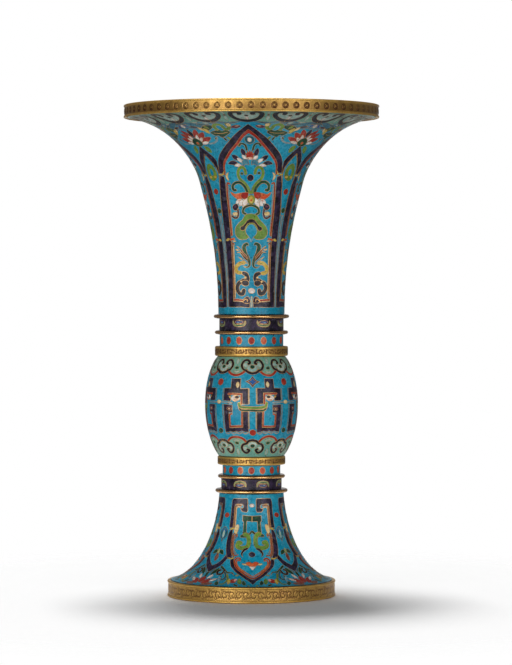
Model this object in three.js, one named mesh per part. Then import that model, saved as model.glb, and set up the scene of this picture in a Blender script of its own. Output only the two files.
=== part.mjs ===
// Cloisonne gu vase: a beaker with a trumpet mouth, a swelling middle and a spreading foot.
// Three raised copper sections plug into one another. Each has its own coat of enamel,
// and gilt bronze bands and rings cover the seams and finish the lip and the foot.
// Millimetres, +Z up, origin at the centre of the face that the foot stands on.
import * as THREE from "three";

// Driving dimensions
const HEIGHT = 280;
const MOUTH_RADIUS = 73;
const FOOT_RADIUS = 48.1;
const ENAMEL = 1.0; // thickness of the outer enamel coat
const LINING = 0.8; // thickness of the enamel inside the mouth
const COPPER = 1.5; // thickness of the raised copper sheet
const GAP = 0.3; // clearance between neighbouring pieces

// Heights of the seams, from the foot up
const FOOT_BAND_TOP = 8.9;
const BULB_BAND_BOTTOM = 75;
const BULB_BAND_TOP = 79.9;
const BULB_TOP = 137;
const NECK_BAND_TOP = 142.6;
const LIP_BOTTOM = 273.4;

// Heights of the four thin rings at mid thickness, and the enamel edges that meet the outer two
const FOOT_RING_LOWER = 60.1;
const FOOT_RING_UPPER = 68.3;
const NECK_RING_LOWER = 150.5;
const NECK_RING_UPPER = 159.6;
const RING_HEIGHT = 2.2;
const RING_ROOM = RING_HEIGHT / 2 + GAP;
const FOOT_FLARE_TOP = FOOT_RING_LOWER - RING_ROOM;
const NECK_BOTTOM = NECK_RING_UPPER + RING_ROOM;

// Radii of the copper tubes that plug into the middle section
const FOOT_TUBE = 15.2;
const NECK_TUBE = 16.9;
const SPIGOT = 4; // how far a tube runs past the seam into the middle section
const SOCKET = 1.2; // thickness of the middle section's copper where it sleeves a tube
const FOOT_SEAT = FOOT_TUBE + GAP; // bore of what is threaded on the foot's tube
const NECK_SEAT = NECK_TUBE + GAP; // bore of what is threaded on the neck's tube

// The lip and foot bands: thin beads border a sunk field, and the wall behind it holds a copper flange
const BEAD = 0.4; // how far a bead stands out
const BAND_WALL = 1.4;
const LIP_CAP = 2.5; // thickness of metal over the copper edge
const LIP_REACH = 4.4; // how far the lip reaches inwards
const LEDGE = 2.2; // thickness of the ledge under the foot's copper edge
const LEDGE_REACH = 4.6;
const LIP_FLANGE = MOUTH_RADIUS - BEAD - BAND_WALL - GAP;
const LIP_FLANGE_TOP = HEIGHT - LIP_CAP - GAP;
const FOOT_FLANGE = FOOT_RADIUS - BEAD - BAND_WALL - GAP;

const SEGMENTS = 36;

const point = (r, z) => new THREE.Vector2(r, z);

// Outlines of the three enamelled surfaces, as radius against height
const neckShaft = new THREE.CubicBezierCurve(
  point(18.95, NECK_BOTTOM),
  point(18.95, 191.2),
  point(23.3, 213.5),
  point(30, 237.7),
);
const neckFlare = new THREE.CubicBezierCurve(
  point(30, 237.7),
  point(31.8, 244.2),
  point(42.4, 268.5),
  point(LIP_FLANGE, LIP_BOTTOM - GAP),
);
const bulbSwell = new THREE.CubicBezierCurve(
  point(18.9, BULB_BAND_TOP + GAP),
  point(29.3, 95.1),
  point(28.8, 124.6),
  point(19.5, BULB_TOP - GAP),
);
const footFlare = new THREE.CubicBezierCurve(
  point(FOOT_FLANGE, FOOT_BAND_TOP + GAP),
  point(31.4, 12.4),
  point(20, 33.7),
  point(18.4, FOOT_FLARE_TOP),
);

const SHAFT_STEPS = 4;
const FLARE_STEPS = 6;
const BULB_STEPS = 7;
const FOOT_STEPS = 6;

const materials = {
  gilt: new THREE.MeshStandardMaterial({ color: 0xc9983a, roughness: 0.34, metalness: 1 }),
  copper: new THREE.MeshStandardMaterial({ color: 0xa8633f, roughness: 0.5, metalness: 1 }),
  turquoise: new THREE.MeshStandardMaterial({ color: 0x1f93c4, roughness: 0.3, metalness: 0 }),
  indigo: new THREE.MeshStandardMaterial({ color: 0x2a2542, roughness: 0.3, metalness: 0 }),
};

// Points along a curve, each moved by depth towards the inside of the wall.
// The curves run upwards on the outer face, so the inside lies to their left.
function line(curve, steps, depth = 0) {
  const points = [];
  for (let i = 0; i <= steps; i += 1) {
    const along = curve.getTangent(i / steps);
    points.push(curve.getPoint(i / steps).add(point(-along.y, along.x).multiplyScalar(depth)));
  }
  return points;
}

// Two curves that meet, as one row of points
const joined = (first, second) => [...first, ...second.slice(1)];

// The closed outline between an outer and an inner row of points that both run upwards
const wall = (outer, inner) => [...outer, ...inner.reverse()];

// Turns a closed outline about the vase's axis into a named solid.
function turned(name, outline, material) {
  const geometry = new THREE.LatheGeometry([...outline, outline[0]], SEGMENTS);
  geometry.rotateX(Math.PI / 2);
  const mesh = new THREE.Mesh(geometry, material);
  mesh.name = name;
  return mesh;
}

// The outer face of a band: a sunk field between two beads
const beadedFace = (radius, bottom, top) => [
  point(radius - BEAD, bottom),
  point(radius, bottom + 2 * BEAD),
  point(radius - BEAD, bottom + 3 * BEAD),
  point(radius - BEAD, top - 3 * BEAD),
  point(radius, top - 2 * BEAD),
  point(radius - BEAD, top),
];

// The foot band: a heavy ring whose inner ledge carries the copper flange.
function footBand() {
  const socket = FOOT_FLANGE + GAP;
  const inner = FOOT_RADIUS - LEDGE_REACH;
  const outline = [
    point(inner, 0),
    ...beadedFace(FOOT_RADIUS, 0, FOOT_BAND_TOP),
    point(socket, FOOT_BAND_TOP),
    point(socket, LEDGE),
    point(inner, LEDGE),
  ];
  return turned("foot_band", outline, materials.gilt);
}

// The copper of the foot: a cone that ends in a flange inside the foot band, and a tube above.
function footCore() {
  const depth = ENAMEL + GAP;
  const flangeBottom = LEDGE + GAP;
  const tubeTop = BULB_BAND_TOP + SPIGOT;
  const outer = [
    point(FOOT_FLANGE, flangeBottom),
    point(FOOT_FLANGE, FOOT_BAND_TOP - ENAMEL),
    ...line(footFlare, FOOT_STEPS, depth).slice(1),
    point(FOOT_TUBE, FOOT_FLARE_TOP),
    point(FOOT_TUBE, tubeTop),
  ];
  const inner = [
    point(FOOT_FLANGE - COPPER, flangeBottom),
    point(FOOT_FLANGE - COPPER, FOOT_BAND_TOP - ENAMEL - COPPER),
    ...line(footFlare, FOOT_STEPS, depth + COPPER).slice(1, -1),
    point(FOOT_TUBE - COPPER, FOOT_FLARE_TOP - COPPER),
    point(FOOT_TUBE - COPPER, tubeTop),
  ];
  return turned("foot_copper", wall(outer, inner), materials.copper);
}

function footEnamel() {
  const outline = wall(line(footFlare, FOOT_STEPS), line(footFlare, FOOT_STEPS, ENAMEL));
  return turned("foot_enamel", outline, materials.turquoise);
}

// A thin gilt ring with a rounded rim, threaded on a copper tube.
function ring(name, centre, innerRadius, outerRadius) {
  const half = RING_HEIGHT / 2;
  const flat = RING_HEIGHT / 6;
  const outline = [
    point(innerRadius, centre - half),
    point(outerRadius - 2 * flat, centre - half),
    point(outerRadius, centre - flat),
    point(outerRadius, centre + flat),
    point(outerRadius - 2 * flat, centre + half),
    point(innerRadius, centre + half),
  ];
  return turned(name, outline, materials.gilt);
}

// A collar of enamel round a copper tube, between two rings or a ring and a band.
function collar(name, bottom, top, innerRadius, outerRadius, material) {
  const outline = [
    point(outerRadius, bottom),
    point(outerRadius, top),
    point(innerRadius, top),
    point(innerRadius, bottom),
  ];
  return turned(name, outline, material);
}

// A gilt band that hides the seam where a tube plugs into the middle section.
function seamBand(name, bottom, top, innerRadius, outerRadius) {
  const round = 2 * BEAD;
  const outline = [
    point(innerRadius, bottom),
    point(outerRadius - round, bottom),
    point(outerRadius, bottom + round),
    point(outerRadius, top - round),
    point(outerRadius - round, top),
    point(innerRadius, top),
  ];
  return turned(name, outline, materials.gilt);
}

// The middle section's copper: a swelling wall with a short sleeve for a tube at either end.
function bulbCore() {
  const depth = ENAMEL + GAP;
  const outer = [
    point(FOOT_SEAT + SOCKET, BULB_BAND_BOTTOM + GAP),
    point(FOOT_SEAT + SOCKET, BULB_BAND_TOP + GAP),
    ...line(bulbSwell, BULB_STEPS, depth),
    point(NECK_SEAT + SOCKET, NECK_BAND_TOP - GAP),
  ];
  const inner = [
    point(FOOT_SEAT, BULB_BAND_BOTTOM + GAP),
    point(FOOT_SEAT, BULB_BAND_TOP + COPPER),
    ...line(bulbSwell, BULB_STEPS, depth + COPPER).slice(1, -1),
    point(NECK_SEAT, BULB_TOP - COPPER),
    point(NECK_SEAT, NECK_BAND_TOP - GAP),
  ];
  return turned("bulb_copper", wall(outer, inner), materials.copper);
}

function bulbEnamel() {
  const outline = wall(line(bulbSwell, BULB_STEPS), line(bulbSwell, BULB_STEPS, ENAMEL));
  return turned("bulb_enamel", outline, materials.turquoise);
}

// The disc that closes the vessel, soldered on the end of the foot's tube.
function vesselFloor() {
  const bottom = BULB_BAND_TOP + SPIGOT + GAP;
  const radius = FOOT_SEAT + SOCKET;
  const outline = [
    point(0, bottom),
    point(radius, bottom),
    point(radius, bottom + COPPER),
    point(0, bottom + COPPER),
  ];
  return turned("vessel_floor", outline, materials.copper);
}

// The copper of the trumpet: a tube below, the flare, and a flange that stands up inside the lip band.
function neckCore() {
  const depth = ENAMEL + GAP;
  const tubeBottom = BULB_TOP - SPIGOT;
  const outer = [
    point(NECK_TUBE, tubeBottom),
    point(NECK_TUBE, NECK_BOTTOM),
    ...joined(line(neckShaft, SHAFT_STEPS, depth), line(neckFlare, FLARE_STEPS, depth)),
    point(LIP_FLANGE, LIP_FLANGE_TOP),
  ];
  const inner = [
    point(NECK_TUBE - COPPER, tubeBottom),
    point(NECK_TUBE - COPPER, NECK_BOTTOM),
    ...line(neckShaft, SHAFT_STEPS, depth + COPPER).slice(1),
    ...line(neckFlare, FLARE_STEPS, depth + COPPER).slice(1, -1),
    point(LIP_FLANGE - COPPER, LIP_BOTTOM + ENAMEL + COPPER),
    point(LIP_FLANGE - COPPER, LIP_FLANGE_TOP),
  ];
  return turned("neck_copper", wall(outer, inner), materials.copper);
}

function neckEnamel() {
  const face = joined(line(neckShaft, SHAFT_STEPS), line(neckFlare, FLARE_STEPS));
  const back = joined(line(neckShaft, SHAFT_STEPS, ENAMEL), line(neckFlare, FLARE_STEPS, ENAMEL));
  return turned("neck_enamel", wall(face, back), materials.turquoise);
}

// The enamel inside the flared mouth, from the top of the shaft up to the copper flange.
function mouthLining() {
  const depth = ENAMEL + COPPER + 2 * GAP;
  const edge = LIP_FLANGE - COPPER - 2 * GAP;
  const back = line(neckFlare, FLARE_STEPS, depth).slice(0, -1);
  const face = line(neckFlare, FLARE_STEPS, depth + LINING).slice(0, -1);
  back.push(point(edge, LIP_FLANGE_TOP - LINING));
  face.push(point(edge, LIP_FLANGE_TOP));
  return turned("mouth_lining_enamel", wall(back, face), materials.turquoise);
}

// The lip band: a channel that opens downwards and caps the copper edge.
function lipBand() {
  const channel = LIP_FLANGE + GAP;
  const inner = MOUTH_RADIUS - LIP_REACH;
  const outline = [
    point(channel, LIP_BOTTOM),
    ...beadedFace(MOUTH_RADIUS, LIP_BOTTOM, HEIGHT),
    point(inner + BEAD, HEIGHT),
    point(inner, HEIGHT - BEAD),
    point(inner, HEIGHT - LIP_CAP),
    point(channel, HEIGHT - LIP_CAP),
  ];
  return turned("lip_band", outline, materials.gilt);
}

// What is threaded on the foot's tube, from the cone up
function footTrim() {
  const petalBottom = FOOT_RING_LOWER + RING_ROOM;
  const petalTop = FOOT_RING_UPPER - RING_ROOM;
  const dotBottom = FOOT_RING_UPPER + RING_ROOM;
  const dotTop = BULB_BAND_BOTTOM - GAP;
  const bandBore = FOOT_SEAT + SOCKET + GAP;
  return [
    ring("foot_ring_lower", FOOT_RING_LOWER, FOOT_SEAT, 20.7),
    collar("foot_petal_collar_enamel", petalBottom, petalTop, FOOT_SEAT, 17.3, materials.indigo),
    ring("foot_ring_upper", FOOT_RING_UPPER, FOOT_SEAT, 19.2),
    collar("foot_dot_collar_enamel", dotBottom, dotTop, FOOT_SEAT, 16.5, materials.turquoise),
    seamBand("bulb_band_lower", BULB_BAND_BOTTOM, BULB_BAND_TOP, bandBore, 19.4),
  ];
}

// What is threaded on the neck's tube, from the middle section up
function neckTrim() {
  const dotBottom = NECK_BAND_TOP + GAP;
  const dotTop = NECK_RING_LOWER - RING_ROOM;
  const petalBottom = NECK_RING_LOWER + RING_ROOM;
  const petalTop = NECK_RING_UPPER - RING_ROOM;
  const bandBore = NECK_SEAT + SOCKET + GAP;
  return [
    seamBand("bulb_band_upper", BULB_TOP, NECK_BAND_TOP, bandBore, 20.9),
    collar("neck_dot_collar_enamel", dotBottom, dotTop, NECK_SEAT, 18.2, materials.turquoise),
    ring("neck_ring_lower", NECK_RING_LOWER, NECK_SEAT, 21),
    collar("neck_petal_collar_enamel", petalBottom, petalTop, NECK_SEAT, 18.4, materials.indigo),
    ring("neck_ring_upper", NECK_RING_UPPER, NECK_SEAT, 21.6),
  ];
}

const vase = new THREE.Group();
vase.add(footBand(), footCore(), footEnamel(), ...footTrim());
vase.add(vesselFloor(), bulbCore(), bulbEnamel(), ...neckTrim());
vase.add(neckCore(), neckEnamel(), mouthLining(), lipBand());

export default vase;
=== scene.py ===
import math

import bpy
import numpy as np
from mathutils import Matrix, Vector
from mathutils.geometry import delaunay_2d_cdt


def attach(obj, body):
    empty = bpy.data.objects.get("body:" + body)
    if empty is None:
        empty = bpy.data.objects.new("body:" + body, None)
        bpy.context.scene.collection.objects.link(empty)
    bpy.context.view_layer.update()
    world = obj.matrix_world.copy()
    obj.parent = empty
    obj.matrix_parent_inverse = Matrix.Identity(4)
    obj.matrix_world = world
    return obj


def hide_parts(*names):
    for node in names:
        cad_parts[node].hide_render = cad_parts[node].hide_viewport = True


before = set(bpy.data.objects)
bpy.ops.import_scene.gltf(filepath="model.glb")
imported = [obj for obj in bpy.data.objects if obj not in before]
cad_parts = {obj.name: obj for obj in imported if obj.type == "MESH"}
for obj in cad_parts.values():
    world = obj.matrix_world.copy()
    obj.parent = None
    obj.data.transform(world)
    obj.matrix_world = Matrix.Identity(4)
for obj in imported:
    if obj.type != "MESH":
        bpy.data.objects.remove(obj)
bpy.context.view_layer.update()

MM = 0.001
ROOT = "root"

# Main sizes of the vase, in mm, as in the solid model
HEIGHT = 280
MOUTH_RADIUS = 73
FOOT_RADIUS = 48.1
ENAMEL = 1
LINING = 0.8
COPPER = 1.5
GAP = 0.3
FOOT_BAND_TOP = 8.9
BULB_BAND_BOTTOM = 75
BULB_BAND_TOP = 79.9
BULB_TOP = 137
NECK_BAND_TOP = 142.6
LIP_BOTTOM = 273.4
FOOT_RING_LOWER = 60.1
FOOT_RING_UPPER = 68.3
NECK_RING_LOWER = 150.5
NECK_RING_UPPER = 159.6
RING_HEIGHT = 2.2
RING_ROOM = RING_HEIGHT / 2 + GAP
FOOT_FLARE_TOP = FOOT_RING_LOWER - RING_ROOM
NECK_BOTTOM = NECK_RING_UPPER + RING_ROOM
FOOT_TUBE = 15.2
NECK_TUBE = 16.9
SPIGOT = 4
SOCKET = 1.2
FOOT_SEAT = FOOT_TUBE + GAP
NECK_SEAT = NECK_TUBE + GAP
BEAD = 0.4
BAND_WALL = 1.4
LIP_CAP = 2.5
LIP_REACH = 4.4
LEDGE = 2.2
LEDGE_REACH = 4.6
LIP_FLANGE = MOUTH_RADIUS - BEAD - BAND_WALL - GAP
LIP_FLANGE_TOP = HEIGHT - LIP_CAP - GAP
FOOT_FLANGE = FOOT_RADIUS - BEAD - BAND_WALL - GAP

# Outlines of the enamelled surfaces as cubic curves, radius against height
NECK_SHAFT = [(18.95, NECK_BOTTOM), (18.95, 191.2), (23.3, 213.5), (30, 237.7)]
NECK_FLARE = [(30, 237.7), (31.8, 244.2), (42.4, 268.5), (LIP_FLANGE, LIP_BOTTOM - GAP)]
BULB_SWELL = [(18.9, BULB_BAND_TOP + GAP), (29.3, 95.1), (28.8, 124.6), (19.5, BULB_TOP - GAP)]
FOOT_FLARE = [(FOOT_FLANGE, FOOT_BAND_TOP + GAP), (31.4, 12.4), (20, 33.7), (18.4, FOOT_FLARE_TOP)]

TURNS = 144  # facets of a plain turned piece
FOOT_TURNS = 1440  # the engraved and punched bands have finer facets
LIP_TURNS = 2160
SEAM_TURNS = 1080
WALL_STEPS = 40  # stretches of a turned wall's curve
SHARP = 40  # degrees between facets from which an edge stays sharp
ROSETTES = 72  # round the lip band
LIP_HANG = 0.7  # how far the lip band reaches below its channel
UNDER = ENAMEL + GAP  # how deep the copper lies below the enamel's face
LINING_DEPTH = ENAMEL + COPPER + 2 * GAP  # how deep the back of the mouth's lining lies below the neck's face
SEAL = 0.25  # how far a collar's enamel runs on under its rings

WIRE = 0.11  # half the width of a gilt wire
WIRE_RISE = 0.05  # how far a wire stands above the enamel
SWAY = 0.0022  # radians by which the wires stray round the axis
STRAY = 0.1  # how far they stray along the surface
THINNEST = 0.04  # half the width below which a shape or the tip of a stroke is left out
LONGEST = 2.6  # the longest straight stretch of a shape's edge
MITRE = 0.45  # limits how far an outline reaches at a sharp corner
HAIRPIN = 0.2  # below this, a line turns back on itself and gets no mitre
FOLDS = 8  # wedges round the axis, each the mirror image of the next
WEDGE = 360 / FOLDS
MIDDLE = WEDGE / 2
CUT_PRECISION = 1e-4  # how close two cuts come before they are one
WELD_DIGITS = 5  # decimals in which two points agree before they are one
WALL_LEVEL = 0.16  # brightness of the studio walls beside the white backdrop


def srgb(r, g, b):
    """A colour given in screen levels, as linear RGBA."""
    def linear(level):
        level = level / 255
        return level / 12.92 if level <= 0.04045 else ((level + 0.055) / 1.055) ** 2.4
    return (linear(r), linear(g), linear(b), 1.0)


# Curves

def cubic(points, steps):
    """Points and outward normals along a cubic curve."""
    t = np.linspace(0, 1, steps + 1)[:, None]
    a, b, c, d = (np.array(p, float) for p in points)
    at = (1 - t) ** 3 * a + 3 * (1 - t) ** 2 * t * b + 3 * (1 - t) * t ** 2 * c + t ** 3 * d
    along = 3 * (1 - t) ** 2 * (b - a) + 6 * (1 - t) * t * (c - b) + 3 * t ** 2 * (d - c)
    along /= np.linalg.norm(along, axis=1)[:, None]
    out = np.stack([along[:, 1], -along[:, 0]], axis=1)
    return at, out


class Profile:
    """The outline of an enamelled surface, measured by arc length from its bottom edge."""

    def __init__(self, at, out):
        run = np.linalg.norm(np.diff(at, axis=0), axis=1)
        self.at, self.out = at, out
        self.s = np.concatenate([[0], np.cumsum(run)])
        self.length = self.s[-1]

    def far_face(self, depth):
        """The other side of a wall this thick, measured from its top edge down."""
        return Profile((self.at - depth * self.out)[::-1], -self.out[::-1])

    def radius(self, s):
        return np.interp(s, self.s, self.at[:, 0])

    def normal(self, s):
        """How far outwards and upwards the surface faces at arc length s."""
        return np.interp(s, self.s, self.out[:, 0]), np.interp(s, self.s, self.out[:, 1])

    def place(self, s, rise):
        """Radius and height at arc length s, this far above the surface."""
        outwards, upwards = self.normal(s)
        return self.radius(s) + rise * outwards, np.interp(s, self.s, self.at[:, 1]) + rise * upwards


def profile(*curves, steps=200):
    """A profile of one or more curves, each running on from the one before."""
    at, out = cubic(curves[0], steps)
    for curve in curves[1:]:
        next_at, next_out = cubic(curve, steps)
        at, out = np.concatenate([at, next_at[1:]]), np.concatenate([out, next_out[1:]])
    return Profile(at, out)


def straight(radius, bottom, top):
    third = (top - bottom) / 3
    return profile([(radius, bottom + third * i) for i in range(4)], steps=20)


def offset_curve(points, depth):
    """Points of the curve that runs this far below another."""
    at, out = cubic(points, WALL_STEPS)
    return [tuple(p) for p in at - depth * out]


# Meshes

def mesh_object(name, verts, faces, materials, indices=None, sharp=None, slot=None, nodes=()):
    """A piece from vertices in mm, riding on the vase."""
    mesh = bpy.data.meshes.new(name)
    mesh.from_pydata((np.asarray(verts, float) * MM).tolist(), [], faces)
    for material in materials:
        mesh.materials.append(material)
    if indices is not None:
        mesh.polygons.foreach_set("material_index", np.asarray(indices, np.int32))
    mesh.shade_smooth()
    if sharp is not None:
        mesh.set_sharp_from_angle(angle=math.radians(sharp))
    mesh.update()
    piece = bpy.data.objects.new(name, mesh)
    bpy.context.scene.collection.objects.link(piece)
    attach(piece, ROOT)
    if nodes:
        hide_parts(*nodes)
    return piece


def loop_area(points):
    """Twice the area of a closed outline, below zero where it runs clockwise."""
    x, y = points.T
    return np.sum(x * np.roll(y, -1) - np.roll(x, -1) * y)


def turned(name, outline, material, turns=TURNS, relief=None, **more):
    """Turns a closed outline about the axis; relief(angle, r, z) gives a rise and a tone per point."""
    outline = np.array(outline, float)
    count, forwards = len(outline), loop_area(outline) > 0
    angle = np.arange(turns) * 2 * np.pi / turns
    a, r = np.meshgrid(angle, outline[:, 0], indexing="ij")
    z = np.broadcast_to(outline[:, 1], a.shape)
    rise, tone = relief(a, r, z) if relief else (0, np.zeros(a.shape))
    r = r + rise
    verts = np.stack([r * np.cos(a), r * np.sin(a), z], axis=-1).reshape(-1, 3)
    faces = []
    for i in range(turns):
        here, there = i * count, (i + 1) % turns * count
        for j in range(count):
            k = (j + 1) % count
            quad = (here + j, there + j, there + k, here + k)
            faces.append(quad if forwards else quad[::-1])
    piece = mesh_object(name, verts, faces, [material], sharp=SHARP, **more)
    tones = piece.data.attributes.new("tone", "FLOAT", "POINT")
    tones.data.foreach_set("value", tone.reshape(-1).astype(np.float32))


# Flat shapes in a surface's own angle and arc length

def smooth_line(points, closed=False):
    """A row of points rounded into a flowing curve."""
    p = np.array(points, float)
    n = len(p)
    rows = []
    for i in range(n if closed else n - 1):
        if closed:
            a, b, c, d = p[(i - 1) % n], p[i], p[(i + 1) % n], p[(i + 2) % n]
        else:
            a, b, c, d = p[max(i - 1, 0)], p[i], p[i + 1], p[min(i + 2, n - 1)]
        for t in np.linspace(0, 1, 4, endpoint=False):
            rows.append(0.5 * (2 * b + (c - a) * t + (2 * a - 5 * b + 4 * c - d) * t ** 2
                               + (3 * b - a - 3 * c + d) * t ** 3))
    if not closed:
        rows.append(p[-1])
    return np.array(rows)


def to_mm(prof, points):
    """Local lengths: the angle becomes the length of its arc."""
    return np.stack([np.radians(points[:, 0]) * prof.radius(points[:, 1]), points[:, 1]], axis=1)


def mitre(before, after):
    """Offset direction at a corner between two unit normals."""
    middle = before + after
    size = np.linalg.norm(middle, axis=1, keepdims=True)
    middle = np.where(size > HAIRPIN, middle / np.maximum(size, 1e-6), after)
    spread = np.clip(np.sum(middle * after, axis=1, keepdims=True), MITRE, 1)
    return middle / spread


def normals(prof, points, closed):
    """Left normals of a line in local lengths, as (mm across, mm along)."""
    after = np.roll(points, -1, axis=0) - points
    if not closed:
        after[-1] = after[-2]
    radius = prof.radius(points[:, 1])
    after = np.stack([np.radians(after[:, 0]) * radius, after[:, 1]], axis=1)
    after /= np.maximum(np.linalg.norm(after, axis=1, keepdims=True), 1e-9)
    left = np.stack([-after[:, 1], after[:, 0]], axis=1)
    before = np.roll(left, 1, axis=0)
    if not closed:
        before[0] = left[0]
    return mitre(before, left)


def shifted(prof, points, shift):
    """Moves points by local lengths."""
    degrees = np.degrees(shift[:, 0] / prof.radius(points[:, 1]))
    return points + np.stack([degrees, shift[:, 1]], axis=1)


def dense(prof, points, closed=True):
    """Adds points so that no stretch is longer than LONGEST."""
    rows = []
    count = len(points)
    for i in range(count if closed else count - 1):
        a, b = points[i], points[(i + 1) % count]
        flat = to_mm(prof, np.array([a, b]))
        pieces = max(1, int(np.ceil(np.linalg.norm(flat[1] - flat[0]) / LONGEST)))
        rows += [a + (b - a) * t / pieces for t in range(pieces)]
    if not closed:
        rows.append(points[-1])
    return np.array(rows)


def disc(colour, a, s, rx, ry):
    """An oval."""
    def outline(prof, grow):
        if min(rx, ry) + grow < THINNEST:
            return None
        count = max(10, int(5 * (rx + ry)))
        t = np.arange(count) * 2 * np.pi / count
        centre = np.tile([float(a), float(s)], (count, 1))
        return shifted(prof, centre, np.stack([(rx + grow) * np.cos(t), (ry + grow) * np.sin(t)], axis=1))
    return outline, colour


def patch(colour, points, smooth=True):
    """A closed area through the given points."""
    base = smooth_line(points, closed=True) if smooth else np.array(points, float)
    def outline(prof, grow):
        loop = dense(prof, base)
        if loop_area(to_mm(prof, loop)) < 0:
            loop = loop[::-1]
        return shifted(prof, loop, -grow * normals(prof, loop, True))
    return outline, colour


def plate(colour, points):
    """A closed area with straight edges."""
    return patch(colour, points, smooth=False)


TAPERS = {
    "even": lambda u: np.ones_like(u),
    "leaf": lambda u: np.sin(np.pi * np.clip(u, 0, 1)) ** 0.7,
    "tail": lambda u: (1 - u) ** 0.6,
    "swell": lambda u: 0.45 + 0.55 * np.sin(np.pi * np.clip(u, 0, 1)),
    "drop": lambda u: np.sin(np.pi * np.clip(u, 0, 1) ** 0.6) ** 0.8,
}


def cap(prof, end, normal, half, turn):
    """The round end of a stroke, from its right side to its left at the tip, or back at the start."""
    t = np.linspace(0, np.pi, 5 if half > 0.5 else 4)[1:-1]
    side = normal / max(np.linalg.norm(normal), 1e-9)
    ahead = np.array([side[1], -side[0]])
    rows = np.outer(turn * np.cos(t), side) - turn * np.outer(np.sin(t), ahead)
    return shifted(prof, np.tile(end, (len(t), 1)), half * rows)


def band(colour, width, points, taper="even", smooth=True):
    """A stroke along a line, with round ends."""
    base = smooth_line(points) if smooth else np.array(points, float)
    def outline(prof, grow):
        path = dense(prof, base, closed=False)
        steps = np.linalg.norm(np.diff(to_mm(prof, path), axis=0), axis=1)
        run = np.concatenate([[0], np.cumsum(steps)])
        half = width / 2 * TAPERS[taper](run / run[-1]) + grow
        keep = half > THINNEST
        if keep.sum() < 3:
            return None
        normal = normals(prof, path, False)
        path, half, normal = path[keep], half[keep], normal[keep]
        side = half[:, None] * normal
        tip, start = (cap(prof, path[i], normal[i], half[i], turn) for i, turn in ((-1, -1), (0, 1)))
        return np.concatenate([shifted(prof, path, -side), tip, shifted(prof, path, side)[::-1], start])
    return outline, colour


def bar(colour, width, points):
    """A stroke with straight stretches."""
    return band(colour, width, points, smooth=False)


def leaf(colour, a0, s0, a1, s1, width, bow=0):
    """A petal from one point to another, bowed sideways by some mm of arc length."""
    return band(colour, width, [(a0, s0), ((a0 + a1) / 2, (s0 + s1) / 2 + bow), (a1, s1)], "leaf")


def blend(shape):
    """Marks a shape that blends into its cell, with no wire of its own."""
    return *shape, True


def both(points, centre=0):
    """Points and then their mirror image at centre, as one closed outline or one even line."""
    left = [(2 * centre - a, s) for a, s in reversed(points) if abs(a - centre) > 1e-6]
    return list(points) + left


def moved(points, centre, base=0, side=1):
    """Points set off from a centre and a base, or their mirror image where side is -1."""
    return [(centre + side * a, base + s) for a, s in points]


def smooth_row(points):
    """A flowing curve through the points, as a plain list."""
    return [tuple(p) for p in smooth_line(points)]


def fold(outline):
    """A closed band from its right half, whose two ends both lie on the mirror line."""
    inner_start = next(i for i in range(1, len(outline)) if abs(outline[i][0]) < 1e-9)
    right = outline[:inner_start + 1]
    return right + [(-a, s) for a, s in reversed(right[1:-1])]


# Enamel panels

def inside(points, loop):
    """Which points lie within a loop that runs anticlockwise."""
    low, high = loop.min(axis=0), loop.max(axis=0)
    near = np.where(np.all((points >= low) & (points <= high), axis=1))[0]
    result = np.zeros(len(points), bool)
    if len(near) == 0:
        return result
    x, y = points[near, 0][:, None], points[near, 1][:, None]
    a, b = loop, np.roll(loop, -1, axis=0)
    side = (b[:, 0] - a[:, 0]) * (y - a[:, 1]) - (x - a[:, 0]) * (b[:, 1] - a[:, 1])
    up = (a[:, 1] <= y) & (b[:, 1] > y) & (side > 0)
    down = (a[:, 1] > y) & (b[:, 1] <= y) & (side < 0)
    result[near] = up.sum(axis=1) - down.sum(axis=1) > 0
    return result


def wander(angle, s, length):
    """The small irregularity of hand-bent wires, none at the edges of a panel."""
    def waves(*rows):
        return sum(np.sin(times * angle + slope * s + start) for times, slope, start in rows)
    fade = np.clip(np.minimum(s, length - s) / 4, 0, 1)
    across = waves((3, 0.21, 0), (5, -0.37, 1), (11, 0.13, 0))
    along = waves((4, 0.29, 2), (7, -0.17, 0), (13, 0.41, 4))
    return SWAY * across * fade, STRAY * along * fade


def painted_loops(prof, shapes):
    """The loops of every shape in painter's order: its wire, the wire's middle and its own colour."""
    loops = []
    for outline, colour, *blended in shapes:
        wired = ((WIRE, "gilt"), (0, None), (-WIRE, colour))
        for grow, paint in ((0, colour),) if blended else wired:
            loop = outline(prof, grow)
            if loop is not None:
                loops.append((loop, paint))
    return loops


def cut_wedge(length, loops, grid):
    """The triangles of one wedge, cut along its edges and every loop, with grid points between."""
    columns, rows = round(WEDGE / grid[0]), max(2, round(length / grid[1]))
    across, along = np.linspace(0, WEDGE, columns + 1), np.linspace(0, length, rows + 1)
    border = [(x, 0) for x in across] + [(WEDGE, y) for y in along[1:]]
    border += [(x, length) for x in across[-2::-1]] + [(0, y) for y in along[-2:0:-1]]
    verts, edges = [], []
    for loop in [border] + [loop for loop, _ in loops]:
        start, count = len(verts), len(loop)
        verts += [(float(x), float(y)) for x, y in loop]
        edges += [(start + i, start + (i + 1) % count) for i in range(count)]
    verts += [(float(x), float(y)) for x in across[1:-1] for y in along[1:-1]]
    cut_verts, _, cut_faces, *_ = delaunay_2d_cdt(verts, edges, [], 0, CUT_PRECISION, False)
    flat, tris = np.array([tuple(v) for v in cut_verts]), np.array(cut_faces, int)
    for edge in (0, WEDGE):
        flat[np.abs(flat[:, 0] - edge) < 10 * CUT_PRECISION, 0] = edge
    middle = flat[tris].mean(axis=1)
    return flat, tris[np.all((middle > 0) & (middle < (WEDGE, length)), axis=1)]


def paint_triangles(middle, loops, names):
    """The paint of each triangle, which is that of the last loop round its middle."""
    index = np.zeros(len(middle), int)
    for loop, paint in loops:
        if paint:
            index[inside(middle, loop)] = names.index(paint)
    return index


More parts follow.
